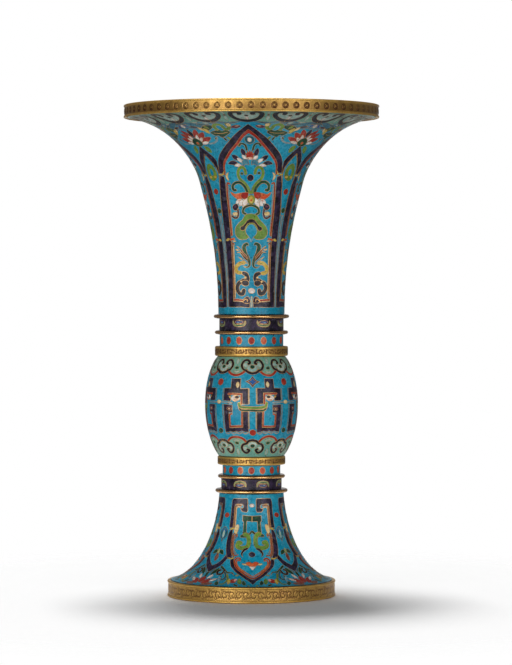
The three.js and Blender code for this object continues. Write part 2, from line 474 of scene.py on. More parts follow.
def repeated(flat, tris, index, gilt):
    """A wedge and its mirror image by turns, all the way round."""
    all_flat, all_tris = [], []
    for i in range(FOLDS):
        even = i % 2 == 0
        angles = i * WEDGE + flat[:, 0] if even else (i + 1) * WEDGE - flat[:, 0]
        all_flat.append(np.stack([angles, flat[:, 1]], axis=1))
        all_tris.append((tris if even else tris[:, ::-1]) + i * len(flat))
    return np.concatenate(all_flat), np.concatenate(all_tris), np.tile(index, FOLDS), np.tile(gilt, FOLDS)


def welded(flat, tris, index, gilt):
    """Joins points in one place, then drops triangles that repeat a corner or one another."""
    key = np.round(np.stack([flat[:, 0] % 360, flat[:, 1]], axis=1), WELD_DIGITS)
    key[key[:, 0] >= 360 - 10.0 ** -WELD_DIGITS, 0] = 0
    _, first, back = np.unique(key, axis=0, return_index=True, return_inverse=True)
    tris = back.reshape(-1)[tris]
    whole = np.all(tris != np.roll(tris, -1, axis=1), axis=1)
    once = np.zeros(len(tris), bool)
    once[np.unique(np.sort(tris, axis=1), axis=0, return_index=True)[1]] = True
    return flat[first], tris[whole & once], index[whole & once], gilt[first]


def enamelled(name, prof, shapes, ground="turquoise", turn=(0, 0), grid=(3, 2), **more):
    """A surface of revolution under a wired pattern that mirrors and repeats round the axis.

    The two turns are how far the pattern leans at the bottom and at the top, in degrees, and the grid
    is how far apart the points between the shapes lie, in degrees and mm.
    """
    loops = painted_loops(prof, shapes)
    names = [ground, "gilt"] + sorted({p for _, p in loops if p and p not in (ground, "gilt")})
    flat, tris = cut_wedge(prof.length, loops, grid)
    index = paint_triangles(flat[tris].mean(axis=1), loops, names)
    used, packed = np.unique(tris, return_inverse=True)
    flat, tris = flat[used], packed.reshape(tris.shape)
    gilt = np.ones(len(flat), bool)
    gilt[tris[index != 1].reshape(-1)] = False
    flat, tris, index, gilt = welded(*repeated(flat, tris, index, gilt))
    angle, s = np.radians(flat[:, 0]), flat[:, 1]
    bend, slide = wander(angle, s, prof.length)
    s = np.clip(s + slide, 0, prof.length)
    lean = turn[0] + (turn[1] - turn[0]) * (s / prof.length) ** 2
    angle = angle + bend + np.radians(lean) - math.pi / 2
    def around(r, z):
        return np.stack([r * np.cos(angle), r * np.sin(angle), z], axis=1)
    verts = around(*prof.place(s, np.where(gilt, WIRE_RISE, 0)))
    materials = [WIRE_GILT if n == "gilt" else ENAMELS[n] for n in names]
    piece = mesh_object(name, verts, tris.tolist(), materials, index, **more)
    piece.data.normals_split_custom_set_from_vertices(around(*prof.normal(s)).tolist())


def collar(place, kind, radius, bottom, top, shapes):
    """A straight enamelled collar, which runs on a little way under its rings."""
    ground, slot = {"dot": ("turquoise", "turquoise_enamel"), "petal": ("deep", "indigo_enamel")}[kind]
    enamelled(f"{place}_{kind}s", straight(radius, bottom - SEAL, top + SEAL), shapes, ground, slot=slot,
              nodes=[f"{place}_{kind}_collar_enamel"])


# Materials

class Nodes:
    """A short way to write the nodes of a material or of the world."""

    def __init__(self, owner):
        owner.use_nodes = True
        self.owner = owner
        self.tree = owner.node_tree
        self.shader = self.tree.nodes.get("Principled BSDF")

    def add(self, kind, **inputs):
        node = self.tree.nodes.new(kind)
        for key, value in inputs.items():
            self.put(node, key.replace("_", " "), value)
        return node

    def put(self, node, socket, value):
        if isinstance(value, bpy.types.NodeSocket):
            self.tree.links.new(value, node.inputs[socket])
        else:
            node.inputs[socket].default_value = value

    def coords(self, kind="Object"):
        return self.add("ShaderNodeTexCoord").outputs[kind]

    def noise(self, scale, detail, roughness):
        node = self.add("ShaderNodeTexNoise", Vector=self.coords(), Scale=scale, Detail=detail,
                        Roughness=roughness)
        return node.outputs["Fac"]

    def ramp(self, value, low, high, to_low=0, to_high=1):
        node = self.add("ShaderNodeMapRange", Value=value, From_Min=low, From_Max=high, To_Min=to_low,
                        To_Max=to_high)
        return node.outputs["Result"]

    def mix(self, factor, first, second):
        node = self.add("ShaderNodeMix")
        node.data_type = "RGBA"
        for socket, value in ((0, factor), (6, first), (7, second)):
            self.put(node, socket, value)
        return node.outputs[2]

    def maths(self, kind, operation, *values):
        node = self.add(kind)
        node.operation = operation
        for socket, value in enumerate(values):
            self.put(node, socket, value)
        return node

    def bump(self, height, strength, distance):
        node = self.add("ShaderNodeBump", Height=height, Strength=strength, Distance=distance)
        return node.outputs["Normal"]


def tint(colour, other, share):
    """A screen colour moved towards another by a share, as linear RGBA."""
    return tuple((1 - share) * c + share * o for c, o in zip(srgb(*colour), srgb(*other)))


def enamel(name, colour, second, grain):
    """Polished glass paste: cloudy colour with milky and dark flecks, dark pits and a soft gloss."""
    n = Nodes(bpy.data.materials.new("enamel_" + name))
    base = n.mix(n.ramp(n.noise(grain, 6, 0.66), 0.42, 0.62), srgb(*colour), srgb(*second))
    base = n.mix(n.ramp(n.noise(330, 5, 0.7), 0.53, 0.68, 0, 0.7), base, tint(second, (206, 206, 214), 0.12))
    base = n.mix(n.ramp(n.noise(780, 4, 0.75), 0.5, 0.66, 0, 0.8), base, tint(colour, (0, 0, 0), 0.6))
    cells = n.add("ShaderNodeTexVoronoi", Vector=n.coords(), Scale=640)
    pits = n.ramp(cells.outputs["Distance"], 0.12, 0.24, 1, 0)
    pits = n.maths("ShaderNodeMath", "MULTIPLY", pits, n.ramp(n.noise(210, 2, 0.5), 0.5, 0.58))
    n.put(n.shader, "Base Color", n.mix(pits.outputs[0], base, srgb(20, 24, 30)))
    n.put(n.shader, "Roughness", n.ramp(n.noise(420, 3, 0.6), 0.3, 0.7, 0.25, 0.44))
    n.put(n.shader, "Normal", n.bump(n.noise(700, 3, 0.6), 0.12, 0.0004))
    n.shader.inputs["Specular IOR Level"].default_value = 0.24
    return n.owner


def gilding(name, colour, recess, rough=0.36, wear=0.7, metal=0.75, dents=0.15):
    """Fire gilding: warm gold, worn to brown in its hollows and in cloudy patches, and browned by a tone per
    point that is patina in hollows and, on the rings and the lip, also painted shade.
    """
    n = Nodes(bpy.data.materials.new(name))
    tone = n.add("ShaderNodeAttribute")
    tone.attribute_name = "tone"
    base = n.mix(n.ramp(n.noise(55, 5, 0.65), 0.52, 0.8, 0, wear), srgb(*colour), srgb(*recess))
    base = n.mix(n.ramp(n.noise(900, 3, 0.7), 0.5, 0.85, 0, wear), base, srgb(*recess))
    # The tone browns the gilt: patina in engraved and punched hollows, and painted shade on the rings and on
    # the lip's lower part.
    base = n.mix(n.ramp(tone.outputs["Fac"], 0.05, 0.8), base, srgb(78, 40, 18))
    n.put(n.shader, "Base Color", base)
    n.put(n.shader, "Roughness", n.ramp(n.noise(300, 4, 0.6), 0.3, 0.75, rough - 0.05, rough + 0.2))
    n.put(n.shader, "Normal", n.bump(n.noise(1100, 3, 0.6), dents, 0.0003))
    n.shader.inputs["Metallic"].default_value = metal
    return n.owner


def aged_copper():
    """Bare copper, browned in clouds and stained green in spots."""
    n = Nodes(bpy.data.materials.new("aged_copper"))
    base = n.mix(n.ramp(n.noise(60, 5, 0.65), 0.35, 0.7), srgb(150, 92, 58), srgb(92, 58, 42))
    base = n.mix(n.ramp(n.noise(220, 4, 0.7), 0.6, 0.75, 0, 0.7), base, srgb(62, 70, 58))
    n.put(n.shader, "Base Color", base)
    n.put(n.shader, "Roughness", n.ramp(n.noise(200, 4, 0.6), 0.3, 0.7, 0.38, 0.62))
    n.put(n.shader, "Normal", n.bump(n.noise(500, 4, 0.6), 0.2, 0.0004))
    n.shader.inputs["Metallic"].default_value = 1
    return n.owner


ENAMELS = {name: enamel(name, *look) for name, look in {
    "turquoise": ((0, 134, 166), (42, 156, 184), 95),
    "deep": ((18, 13, 26), (56, 42, 70), 260),
    "ink": ((18, 18, 22), (44, 34, 42), 260),
    "red": ((152, 32, 24), (172, 62, 44), 200),
    "orange": ((196, 66, 34), (206, 104, 58), 200),
    "rust": ((118, 58, 46), (146, 96, 78), 200),
    "white": ((234, 228, 220), (204, 184, 172), 300),
    "pink": ((212, 142, 126), (222, 190, 172), 300),
    "cream": ((218, 186, 122), (224, 204, 158), 300),
    "lime": ((114, 148, 56), (88, 122, 54), 200),
    "green": ((14, 52, 36), (34, 84, 50), 260),
    "yellow": ((192, 160, 52), (204, 178, 86), 260),
    "celadon": ((122, 170, 148), (92, 150, 138), 95),
    "mist": ((182, 200, 186), (134, 170, 160), 200),
    "sage": ((152, 164, 112), (112, 136, 92), 260),
    "blue": ((28, 80, 150), (50, 104, 160), 200),
    "violet": ((66, 52, 124), (48, 40, 96), 200),
    "pale": ((90, 150, 176), (126, 170, 178), 200),
    "slate": ((46, 102, 124), (84, 140, 152), 200),
    "teal": ((6, 84, 100), (20, 104, 116), 200),
    "plum": ((84, 34, 52), (104, 50, 74), 200),
}.items()}
WIRE_GILT = gilding("wire_gilt", (190, 146, 88), (70, 46, 30), wear=0.9)
BAND_GILT = gilding("band_gilt", (208, 166, 84), (128, 76, 42), rough=0.32, metal=0.7)
RING_GILT = gilding("ring_gilt", (222, 172, 112), (130, 80, 52), rough=0.2, wear=0.25, metal=1, dents=0.04)
COPPER_SKIN = aged_copper()


# Turned metal

def gilt_piece(node, outline, material, turns, relief):
    """A turned piece of gilt metal over the solid of the same name."""
    turned(node + "_gilt", outline, material, turns, relief, slot="gilt_bronze", nodes=[node])


def copper_piece(node, outer, inner):
    """A turned copper wall from its outer and inner outlines, both from the bottom up."""
    turned(node + "_skin", outer + inner[::-1], COPPER_SKIN, slot="copper", nodes=[node])


def beaded_face(radius, bottom, top, rows):
    """The face of a band: a fine grid of the sunk field between two rounded beads."""
    bead = [(BEAD, 0), (0.12, 0.35 * BEAD), (0, BEAD), (0, 2 * BEAD), (0.14, 2.6 * BEAD)]
    points = [(radius - inset, bottom + rise) for inset, rise in bead]
    points += [(radius - BEAD, z) for z in np.linspace(bottom + 3 * BEAD, top - 3 * BEAD, rows)]
    return points + [(radius - inset, top - rise) for inset, rise in reversed(bead)]


def lip_relief(a, r, z):
    """A row of punched rosettes: a boss and six petals inside a sunk circle, under a tone that paints shade
    towards the band's lower edge.
    """
    low, high = LIP_BOTTOM - LIP_HANG + 3 * BEAD, HEIGHT - 3 * BEAD
    face = (r > MOUTH_RADIUS - 1.5 * BEAD) & (z > low) & (z < high)
    pitch = 2 * np.pi / ROSETTES
    x, y = ((a / pitch + 0.5) % 1 - 0.5) * pitch * MOUTH_RADIUS, z - (low + high) / 2
    dist, six = np.hypot(x, y), np.cos(6 * np.arctan2(y, x))
    boss = np.clip((0.55 - dist) / 0.2, 0, 1)
    petals = np.clip((1.25 + 0.22 * six - dist) / 0.2, 0, 1) * np.clip((dist - 0.55) / 0.15, 0, 1)
    slits = petals * np.clip(-2 * six, 0, 1)
    rim = np.clip(1 - np.abs(dist - 1.6) / 0.3, 0, 1)
    height = 0.22 * boss + 0.18 * petals - 0.16 * slits - 0.16 * rim
    worn = 0.7 + 0.3 * np.cos(4 * (a + math.radians(65)))
    # Painted shade: the tone grows from the top of the field down to its lower edge, so the band renders
    # darker below; the even share is patina in the sunk field.
    patina_and_shade = 0.34 + 0.22 * np.clip((high - z) / (high - low), 0, 1)
    tone = patina_and_shade + worn * (0.65 * rim + 0.65 * slits + 0.3 * petals - 0.1 * boss)
    return np.where(face, height, 0), np.where(face, tone, 0)


def scroll_relief(radius, low, high, repeats, deep=0.16, dark=0.5, field=0.4):
    """Engraved lines of linked scrolls along a band."""
    middle, half = (low + high) / 2, (high - low) / 2
    def relief(a, r, z):
        face = (r > radius - 1.7 * BEAD) & (z > low - 0.01) & (z < high + 0.01)
        u, y = a * repeats / (2 * np.pi), z - middle
        cell = np.floor(u)
        x = (u - cell - 0.5) * 2 * np.pi * radius / repeats
        turn = np.arctan2(y * np.where(cell % 2 == 0, 1, -1), x)
        dist = np.hypot(x, y) / half
        spiral = 0.8 * np.clip(2.6 * np.cos(2 * turn + dist * 7.5) - 1, 0, 1) * (dist < 1.05)
        wave = np.abs(y - 0.62 * half * np.sin(np.pi * u + 0.5)) / half
        wave = 0.7 * np.clip(1.3 - wave * 9, 0, 1)
        link = np.abs(np.abs(x) - np.pi * radius / repeats)
        vein = np.clip(1.2 - np.abs(link - 0.25 * np.abs(y)) / 0.22, 0, 1) * (np.abs(y) < 0.8 * half)
        mark = np.maximum(np.maximum(spiral, wave), vein) * np.clip((half - np.abs(y)) / 0.35, 0, 1)
        return np.where(face, -deep * mark, 0), np.where(face, field + mark * dark, 0)
    return relief


def foot_band():
    """A beaded band with a heavy edge, and above it a socket for the copper's flange."""
    socket, inner = FOOT_FLANGE + GAP, FOOT_RADIUS - LEDGE_REACH
    outline = [(inner, 0)] + beaded_face(FOOT_RADIUS, 0, FOOT_BAND_TOP, rows=22)
    outline += [(socket, FOOT_BAND_TOP), (socket, LEDGE), (inner, LEDGE)]
    low, high = 3 * BEAD, FOOT_BAND_TOP - 3 * BEAD
    relief = scroll_relief(FOOT_RADIUS, low, high, repeats=72, deep=0.14, dark=0.42, field=0.3)
    gilt_piece("foot_band", outline, BAND_GILT, FOOT_TURNS, relief)


def lip_band():
    """A beaded band that covers the copper's edge as a channel."""
    channel, inner = LIP_FLANGE + GAP, MOUTH_RADIUS - LIP_REACH
    outline = [(channel, LIP_BOTTOM)] + beaded_face(MOUTH_RADIUS, LIP_BOTTOM - LIP_HANG, HEIGHT, rows=18)
    outline += [(inner + 2.5 * BEAD, HEIGHT), (inner + 0.35 * BEAD, HEIGHT - 0.3 * BEAD)]
    outline += [(inner, HEIGHT - BEAD), (inner, HEIGHT - LIP_CAP), (channel, HEIGHT - LIP_CAP)]
    gilt_piece("lip_band", outline, BAND_GILT, LIP_TURNS, lip_relief)


def ring(node, centre, inner, outer):
    """A half-round hoop, bright along its crest, with painted shade browning it above and below."""
    half, crown, fillet = RING_HEIGHT / 2, 1.15, outer - 2
    edge = [(inner, half + 0.15), (fillet, half + 0.15), (fillet + 0.4, half - 0.06)]
    t = np.linspace(-math.pi / 2, math.pi / 2, 17)
    outline = [(r, centre - rise) for r, rise in edge]
    outline += [(outer - crown + crown * math.cos(x), centre + (half - 0.06) * math.sin(x)) for x in t]
    outline += [(r, centre + rise) for r, rise in reversed(edge)]
    # Painted shade: the tone darkens the hoop's rounded faces above and below its crest.
    def painted_edge_shade(a, r, z):
        return 0, np.clip((np.abs(z - centre) / half - 0.4) * 1.6, 0, 0.9)
    gilt_piece(node, outline, RING_GILT, TURNS, painted_edge_shade)


def seam_band(node, bottom, top, inner, outer):
    """A flat band with rounded edges and an engraved field."""
    bend = 2 * BEAD
    t = np.linspace(0, math.pi / 2, 5)
    low = [(outer - bend + bend * math.sin(x), bottom + bend - bend * math.cos(x)) for x in t]
    high = [(outer - bend + bend * math.cos(x), top - bend + bend * math.sin(x)) for x in t]
    field = [(outer, z) for z in np.linspace(bottom + bend, top - bend, 16)[1:-1]]
    outline = [(inner, bottom)] + low + field + high + [(inner, top)]
    relief = scroll_relief(outer, bottom + 1.1, top - 1.1, repeats=22)
    gilt_piece(node, outline, BAND_GILT, SEAM_TURNS, relief)


def foot_copper():
    edge, bottom, top = FOOT_FLANGE - COPPER, LEDGE + GAP, FOOT_BAND_TOP - ENAMEL
    tube_top = BULB_BAND_TOP + SPIGOT
    outer = [(FOOT_FLANGE, bottom), (FOOT_FLANGE, top)] + offset_curve(FOOT_FLARE, UNDER)[1:]
    outer += [(FOOT_TUBE, FOOT_FLARE_TOP), (FOOT_TUBE, tube_top)]
    inner = [(edge, bottom), (edge, top - COPPER)] + offset_curve(FOOT_FLARE, UNDER + COPPER)[1:-1]
    inner += [(FOOT_TUBE - COPPER, FOOT_FLARE_TOP - COPPER), (FOOT_TUBE - COPPER, tube_top)]
    copper_piece("foot_copper", outer, inner)


def bulb_copper():
    sleeve, bottom, top = FOOT_SEAT + SOCKET, BULB_BAND_BOTTOM + GAP, NECK_BAND_TOP - GAP
    outer = [(sleeve, bottom), (sleeve, BULB_BAND_TOP + GAP)]
    outer += offset_curve(BULB_SWELL, UNDER) + [(NECK_SEAT + SOCKET, top)]
    inner = [(FOOT_SEAT, bottom), (FOOT_SEAT, BULB_BAND_TOP + COPPER)]
    inner += offset_curve(BULB_SWELL, UNDER + COPPER)[1:-1]
    inner += [(NECK_SEAT, BULB_TOP - COPPER), (NECK_SEAT, top)]
    copper_piece("bulb_copper", outer, inner)


def vessel_floor():
    low, radius, centre = BULB_BAND_TOP + SPIGOT + GAP, FOOT_SEAT + SOCKET, 0.01
    outline = [(centre, low), (radius, low), (radius, low + COPPER), (centre, low + COPPER)]
    copper_piece("vessel_floor", outline, [])


def neck_copper():
    edge, bottom = LIP_FLANGE - COPPER, BULB_TOP - SPIGOT
    outer = [(NECK_TUBE, bottom), (NECK_TUBE, NECK_BOTTOM)] + offset_curve(NECK_SHAFT, UNDER)
    outer += offset_curve(NECK_FLARE, UNDER)[1:] + [(LIP_FLANGE, LIP_FLANGE_TOP)]
    inner = [(NECK_TUBE - COPPER, bottom), (NECK_TUBE - COPPER, NECK_BOTTOM)]
    inner += offset_curve(NECK_SHAFT, UNDER + COPPER)[1:] + offset_curve(NECK_FLARE, UNDER + COPPER)[1:-1]
    inner += [(edge, LIP_BOTTOM + ENAMEL + COPPER), (edge, LIP_FLANGE_TOP)]
    copper_piece("neck_copper", outer, inner)


def mouth_lining():
    """The glass of the mouth's lining, a little below the patterned face over it."""
    edge, face_depth = LIP_FLANGE - COPPER - 2 * GAP, LINING_DEPTH + LINING - 2 * WIRE_RISE
    back = offset_curve(NECK_FLARE, LINING_DEPTH)[:-1] + [(edge, LIP_FLANGE_TOP - LINING)]
    face = offset_curve(NECK_FLARE, face_depth)[:-1] + [(edge, LIP_FLANGE_TOP - WIRE_RISE)]
    turned("mouth_lining", back + face[::-1], ENAMELS["turquoise"], slot="turquoise_enamel",
           nodes=["mouth_lining_enamel"])


# Patterns, in degrees round the axis, mirrored at 0 and at WEDGE, and in mm along the surface

def neck_rim():
    """The border of sixteen cloud heads under the lip, and the dark foliage below it."""
    base = 119.2
    scallop = [(-3, 1.2), (3, 0.2), (11.2, -1.3), (19.5, 0.2), (25.5, 0.2), (33.7, -1.3), (42, 0.2),
               (48, 1.2), (48, 20), (-3, 20)]
    curl = [(0, 0), (3.8, 0.9), (6.8, 3.6), (8, 7.4), (7.5, 11), (5.4, 12.6), (3.4, 11.2), (3.4, 8.8)]
    head = both([(0, 0.4), (5.6, 4.2), (6.6, 9.6), (0, 11.6)])
    dark = [(48, 122), (4.6, 122), (3.8, 119), (6.4, 117.2), (10.6, 116), (14.4, 116.2), (17.4, 117.6),
            (21, 116.6), (25, 114.9), (29, 112.6), (34, 111.2), (39, 112.2), (45, 111.4), (48, 111.4)]
    leaves = [("teal", 8.6, 117.4, 2.2), ("teal", 21.6, 118, 3.2), ("teal", 29.4, 115.4, 3.4),
              ("deep", 36.8, 113.2, 3), ("teal", 43.6, 117, 3.2), ("mist", 33.4, 117.8, 2.6),
              ("mist", 25.6, 116.6, 1.8), ("turquoise", 40.2, 115, 2.2), ("turquoise", 14.2, 118.2, 2)]
    shapes = [patch("slate", dark)]
    shapes += [leaf(colour, a - reach, s - 0.3, a + reach, s + 0.8, 1.5) for colour, a, s, reach in leaves]
    shapes.append(plate("celadon", moved(scallop, 0, base)))
    for centre in (11.25, 33.75):
        shapes += [leaf("mist", centre, base + 0.4, centre, base + 6.4, 2),
                   leaf("mist", centre, base + 8.6, centre, base + 14.6, 1.5),
                   disc("plum", centre, base + 7.5, 0.8, 0.9)]
    for centre in (0, MIDDLE, WEDGE):
        shapes.append(patch("mist", moved(head, centre, base)))
        shapes += [band("ink", 2.9, moved(curl, centre, base, side)) for side in (-1, 1)]
        shapes += [leaf("white", centre, base + 1.6, centre, base + 5.2, 2),
                   disc("ink", centre, base + 6.7, 1.2, 1.2),
                   leaf("mist", centre, base + 8.8, centre, base + 14, 1.3)]
    return shapes


def neck_lotus():
    """The lotus and its leaves between the tops of the tall lappets."""
    return [
        patch("green", [(22.4, 113.8), (26.6, 114.8), (31, 113.2), (32.4, 110.8), (29.4, 110),
            (25.4, 111)]),
        leaf("yellow", 28.4, 107.6, 31, 112.2, 2.8), leaf("lime", 26.6, 111.4, 29.2, 114.2, 1.6),
        leaf("cream", 31.4, 109.8, 34.4, 113, 1.8), leaf("red", 43.8, 102, 38, 111.4, 4),
        leaf("red", 42.4, 101.4, 33.2, 108.6, 3.8), leaf("red", 40.8, 100.6, 29.4, 104.6, 3.4),
        leaf("white", 43.6, 101.2, 40.6, 106.8, 2.4), leaf("white", 42.4, 100.8, 37, 104.6, 2.2),
        leaf("white", 40.8, 100, 33.2, 101.2, 2.2),
        patch("green", both([(45, 104.4), (41.8, 103.2), (39.8, 100.8), (41.4, 98.6), (45, 98)], WEDGE)),
        disc("orange", 45, 100.4, 1, 1), leaf("deep", 45, 105, 45, 111.6, 3.2),
        leaf("blue", 40.8, 112.8, 43, 116.4, 1.8), disc("white", 45, 114.6, 1.3, 1.7),
        patch("green", [(12.6, 108.2), (15, 110.2), (18, 109.4), (20, 110.6), (23, 109.9), (27.4, 108.4),
            (25, 105.9), (22, 105.9), (20.4, 104.4), (16.4, 105.6)]),
        band("lime", 0.3, [(14.4, 108.2), (19.4, 107.4), (24.8, 108)]),
        leaf("green", 19, 104.6, 17.2, 101.8, 1.4), leaf("green", 23.6, 104.8, 26.4, 103, 1.4),
        band("lime", 2.1, [(13, 115.8), (12.2, 112.8), (13.4, 110.9), (15.4, 111.6), (16.6, 114.4),
            (19.4, 115.6), (22, 113.4), (21.2, 110.8)]),
        disc("cream", 12, 115, 1.3, 1.6), leaf("plum", 4.6, 114, 11.2, 112.6, 3),
        leaf("pink", 5.8, 114.2, 8.4, 113.6, 1),
        band("pale", 0.7, [(24, 104.6), (25.6, 102), (29.5, 100.3), (33.4, 100)]),
        leaf("lime", 39.8, 98.4, 35.4, 93.4, 3.2), leaf("lime", 13.6, 102.6, 16.2, 104.8, 1.4),
    ]


def neck_bands():
    """The dark bands of the tall lappets, the red line within them, and the small lappets between."""
    arm = [(45, 98.6), (42.6, 96.2), (39.2, 93.4), (35.6, 90.6), (33.6, 88.2), (33.9, 84), (35.9, 76.8),
        (35.4, 80.6), (36.3, 84), (38.6, 87.4), (41.8, 90.4), (45, 93.2)]
    outer = smooth_row([(0, 115.6), (4.4, 111.2), (9.2, 106.7), (15, 102.2), (21.6, 97.2), (27.4, 92.8),
        (31.4, 88.4), (33.6, 84), (34.6, 80.8)])
    inner = smooth_row([(28.4, 80.4), (27.8, 84.4), (25.4, 88), (20.6, 92.1), (14.4, 97), (8.9, 101.7),
        (4.2, 106.6), (0, 110.8)])
    red = smooth_row([(0, 111), (4.2, 106.8), (8.9, 101.9), (14.4, 97.2), (20.6, 92.3), (25.6, 88.2),
        (28.1, 84.4), (28.6, 80.6)])
    red += smooth_row([(26.8, 80.8), (26.2, 84), (24, 87), (19.7, 90.6), (13.8, 95.2), (8.5, 99.6),
        (3.9, 104.2), (0, 107.4)])
    side = [(29.6, 78.6), (34.4, 79.2), (37.2, 74), (39.2, 65), (40.9, 54), (41.3, 45), (41.6, 40),
        (41.8, 27), (42.2, 14), (42.2, 3.9), (2.8, 3.9), (2.8, 8), (5.5, 7), (32.8, 7), (32.4, 14),
        (31.8, 27), (31.2, 40), (30.8, 54), (30.2, 65), (29.4, 74)]
    return [
        plate("deep", both(arm, WEDGE)),
        band("mist", 0.3, [(45, 92.6), (41.9, 89.8), (38.9, 86.8), (36.9, 83.4), (36.1, 79.8), (37.4, 74),
            (39.6, 65), (41.4, 56)]),
        plate("red", fold(red)), plate("deep", fold(outer + inner)), plate("deep", side),
        band("red", 0.9, [(24.2, 74.4), (26.8, 74.8), (27.9, 72), (28.8, 65), (29.2, 54), (29.5, 44.6)]),
        bar("rust", 0.9, [(26.8, 39.6), (29.7, 40.4), (30.2, 27), (30.8, 14), (30.8, 9)]),
        bar("red", 1.1, [(31, 7.9), (13.2, 7.8)]),
        band("rust", 0.1, [(25.6, 72.8), (26.6, 65), (27.2, 54), (27.6, 45)]),
        bar("cream", 0.55, [(27.6, 38.6), (28.2, 27), (28.9, 14), (29, 9.4)]),
        patch("deep", [(2.8, 6.6), (3.2, 8.8), (5.6, 9.9), (9.4, 9.9), (12.8, 9), (14.2, 7.6), (12, 6.4)]),
        band("rust", 0.35, [(13.6, 7.7), (10.6, 8.6), (7.4, 8.3), (7.2, 7.5)]),
        band("yellow", 0.8, [(28.4, 81.6), (31, 79.8), (35.6, 79.9)]),
        band("cream", 1.3, [(23.6, 81), (26.6, 78.8), (24.6, 76.2)], "leaf"),
        band("red", 0.8, [(26.6, 82.6), (28.6, 80.2), (26.4, 79.6)], "leaf"),
        band("orange", 1.2, [(26.4, 42.6), (32, 42.2)]),
        band("cream", 0.8, [(23.4, 41.4), (28.4, 41.2)], "leaf"),
        band("yellow", 1.5, [(33.4, 42.7), (40.2, 41.9)], "leaf"),
        bar("pale", 1, [(45, 4.4), (45, 56)]),
        bar("cream", 0.16, [(43.4, 4.4), (43.4, 56)]),
        bar("mist", 0.7, [(0, 4.2), (0, 9.8)]),
    ]


def neck_flower_top():
    """The lotus head near the tip of a tall lappet."""
    return [
        disc("teal", 0, 102.2, 2.7, 3.1), disc("white", 0, 102.1, 1.2, 1.6),
        band("green", 1.1, [(2.5, 95.2), (3.8, 98.6), (6.8, 99.6), (8.8, 98)]),
        leaf("deep", 4.6, 91, 6.8, 96.2, 2.6),
        plate("red", both([(0, 95.4), (0.9, 93.4), (1.9, 94.8), (2.5, 92.9), (3.6, 93), (2.9, 90.2),
            (0, 89.6)])),
        disc("pink", 0, 89.6, 1.7, 0.9), leaf("deep", 10, 88.2, 16.4, 91.6, 2.8),
        leaf("deep", 11, 85.6, 21.8, 86.2, 2.6, 0.9), leaf("white", 3.2, 88.9, 6.9, 91.6, 2.1),
        leaf("white", 6.6, 87, 12, 89.6, 2.1), leaf("white", 8.4, 84.9, 15.8, 84.9, 2, 0.5),
        patch("slate", [(1.2, 85.4), (1.8, 88.2), (4.8, 89), (7.6, 87.4), (7.2, 84.6), (4.2, 85.8)]),
        band("lime", 1.5, [(5, 80.4), (6.2, 83.2), (9, 84.1), (12, 82.8), (13.4, 80), (12, 77.3), (7.2, 75),
            (3.2, 72), (1.4, 69)]),
        disc("green", 9.2, 80.4, 0.8, 0.8), disc("deep", 0, 77.9, 1.9, 1.9),
    ]


def neck_flower_low():
    """The red and white lotus below it, on its yellow heart."""
    return [
        band("green", 1.5, [(4.2, 69.2), (6.6, 72.5), (11.2, 75), (16.5, 75.2), (20.6, 73.4), (20.2, 71),
            (17.6, 70.8)]),
        patch("orange", [(10.2, 69), (14.4, 68.9), (19, 68.5), (24, 69.7), (22.8, 68.1), (19, 66.3),
            (14.6, 64.9), (10.8, 65.8)]),
        patch("red", [(3.4, 69.1), (7, 69.4), (11.2, 69), (12, 66.6), (8.2, 65.4), (4.2, 66.4)]),
        leaf("white", 11.6, 65.4, 18.6, 63, 2.2), blend(leaf("pink", 12.4, 65.2, 15.6, 64.2, 1.2)),
        leaf("white", 8.6, 65.2, 14.6, 61.4, 2.8),
        patch("white", [(3.8, 65.8), (7.4, 65.4), (10.4, 63.6), (10.2, 60.6), (7.2, 61.5), (4.4, 63)]),
        disc("lime", 0, 65, 2.2, 2.7), disc("yellow", 0, 65, 1.4, 2),
        blend(disc("orange", 0.2, 64.7, 0.5, 0.6)),
        band("green", 1.2, both([(-7, 56.9), (-10.2, 58), (-8.2, 60.5), (0, 61.9)])),
        band("deep", 1.1, [(17, 59.8), (16.6, 57), (18.4, 55), (22, 54.7), (25.4, 55.7)]),
        patch("deep", [(15.8, 61.2), (18, 62.8), (22, 62.4), (24, 60.8), (22, 59.4), (18.4, 59.2)]),
        blend(disc("plum", 20, 61.2, 0.9, 0.6)), disc("cream", 21, 57.1, 1.6, 1.1),
    ]


